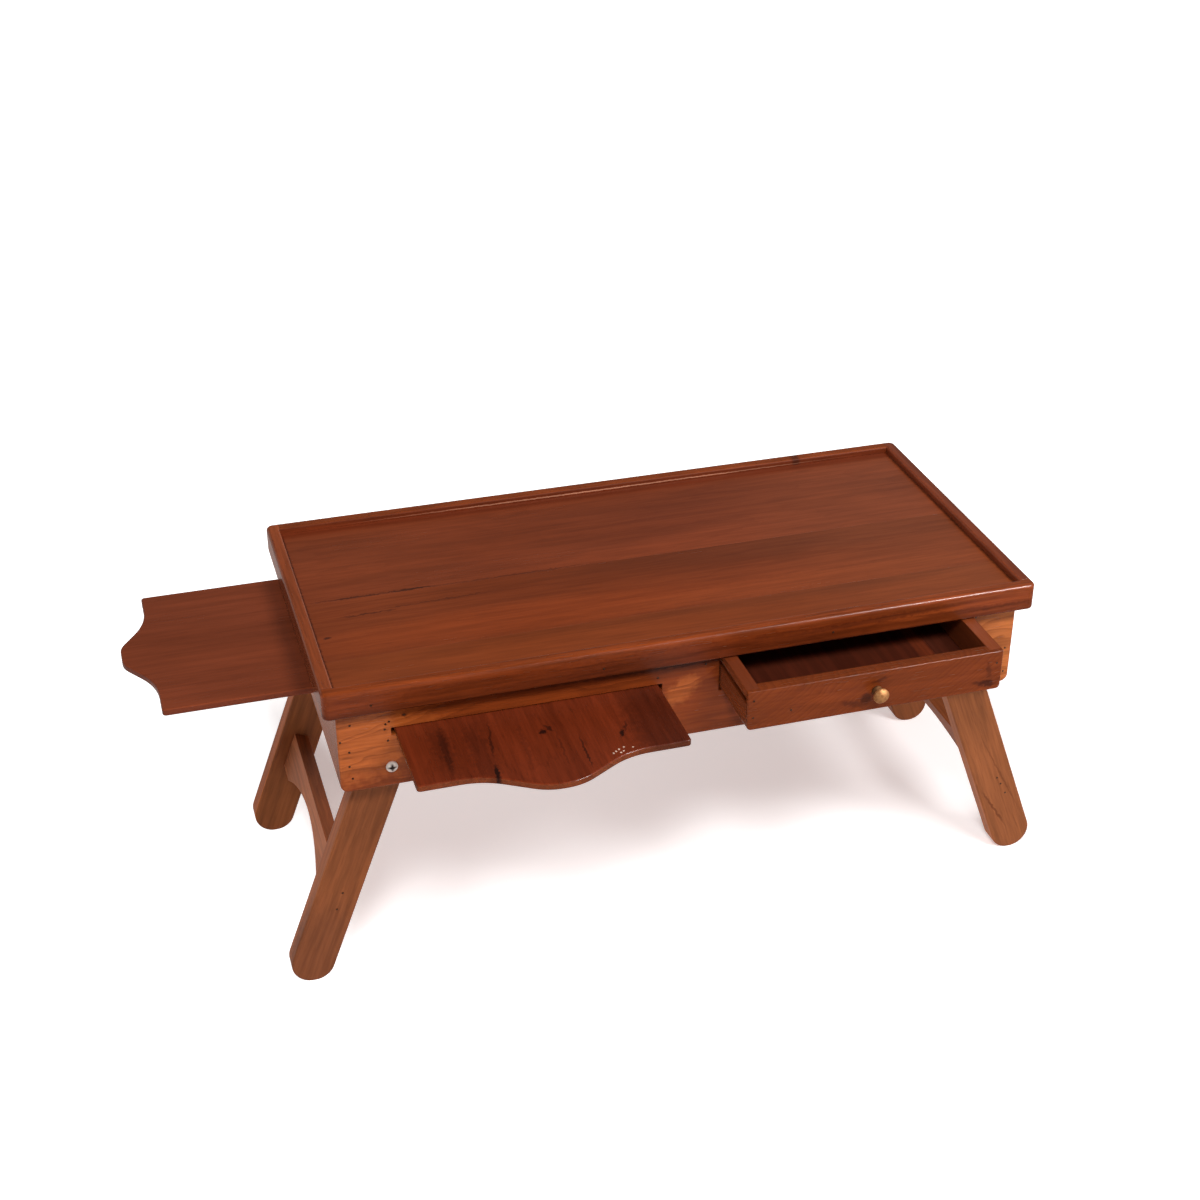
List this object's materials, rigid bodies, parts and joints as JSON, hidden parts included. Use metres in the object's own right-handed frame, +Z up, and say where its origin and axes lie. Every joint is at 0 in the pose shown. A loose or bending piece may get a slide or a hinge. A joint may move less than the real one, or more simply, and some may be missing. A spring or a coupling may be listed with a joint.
{
  "type": "lap desk",
  "caption": "Low wooden lap desk with a rimmed top, folding splayed legs, an inset drawer with a knob and thin trays that pull out of the front and the left end.",
  "frame": {"origin": "centre of the writing surface", "axes": "+X to the sitter's right along the desk, +Y away from the sitter, +Z up"},
  "size_m": [0.7919, 0.3955, 0.3],
  "materials": {
    "top": "semi-gloss lacquer",
    "rim": "semi-gloss lacquer",
    "box": "semi-gloss lacquer",
    "framing": "semi-gloss lacquer",
    "front_tray": "semi-gloss lacquer",
    "left_tray": "semi-gloss lacquer",
    "drawer": "semi-gloss lacquer",
    "drawer_floor": "semi-gloss lacquer",
    "legs": "semi-gloss lacquer",
    "brass": "polished",
    "steel": "nickel plated"
  },
  "bodies": {
    "desk": {"top_board_front": "top", "top_board_middle": "top", "top_board_back": "top", "rim_front": "rim", "rim_left": "rim", "rim_right": "rim", "rim_back": "rim", "apron_front": "box", "apron_back": "box", "apron_left": "box", "apron_right": "box", "drawer_partition_left": "framing", "drawer_partition_right": "framing", "drawer_runner_left": "framing", "drawer_runner_right": "framing", "front_tray_rail_left": "framing", "front_tray_rail_right": "framing", "left_tray_batten_front": "framing", "left_tray_batten_back": "framing", "pivot_screws": "steel", "pivot_washers": "steel", "pivot_nuts": "steel"},
    "left_legs": {"left_leg_front": "legs", "left_leg_back": "legs", "left_stretcher": "legs"},
    "right_legs": {"right_leg_front": "legs", "right_leg_back": "legs", "right_stretcher": "legs"},
    "drawer": {"drawer_front": "drawer", "drawer_side_left": "drawer", "drawer_side_right": "drawer", "drawer_back": "drawer", "drawer_floor_wide": "drawer_floor", "drawer_floor_narrow": "drawer_floor", "drawer_knob": "brass", "knob_screw": "steel"},
    "front_tray": {"front_tray": "front_tray"},
    "left_tray": {"left_tray": "left_tray"}
  },
  "joints": [
    {"name": "left_legs_fold", "type": "hinge", "parent": "desk", "child": "left_legs", "pos_m": [-0.252, 0, -0.0765], "axis": [0, -1, 0], "range_deg": [0, 110.52]},
    {"name": "right_legs_fold", "type": "hinge", "parent": "desk", "child": "right_legs", "pos_m": [0.252, 0, -0.0765], "axis": [0, 1, 0], "range_deg": [0, 110.52]},
    {"name": "drawer_slide", "type": "slide", "parent": "desk", "child": "drawer", "axis": [0, -1, 0], "range_m": [-0.064, 0.121]},
    {"name": "front_tray_slide", "type": "slide", "parent": "desk", "child": "front_tray", "axis": [0, -1, 0], "range_m": [-0.0835, 0.08]},
    {"name": "left_tray_slide", "type": "slide", "parent": "desk", "child": "left_tray", "axis": [-1, 0, 0], "range_m": [-0.1285, 0.07]}
  ]
}
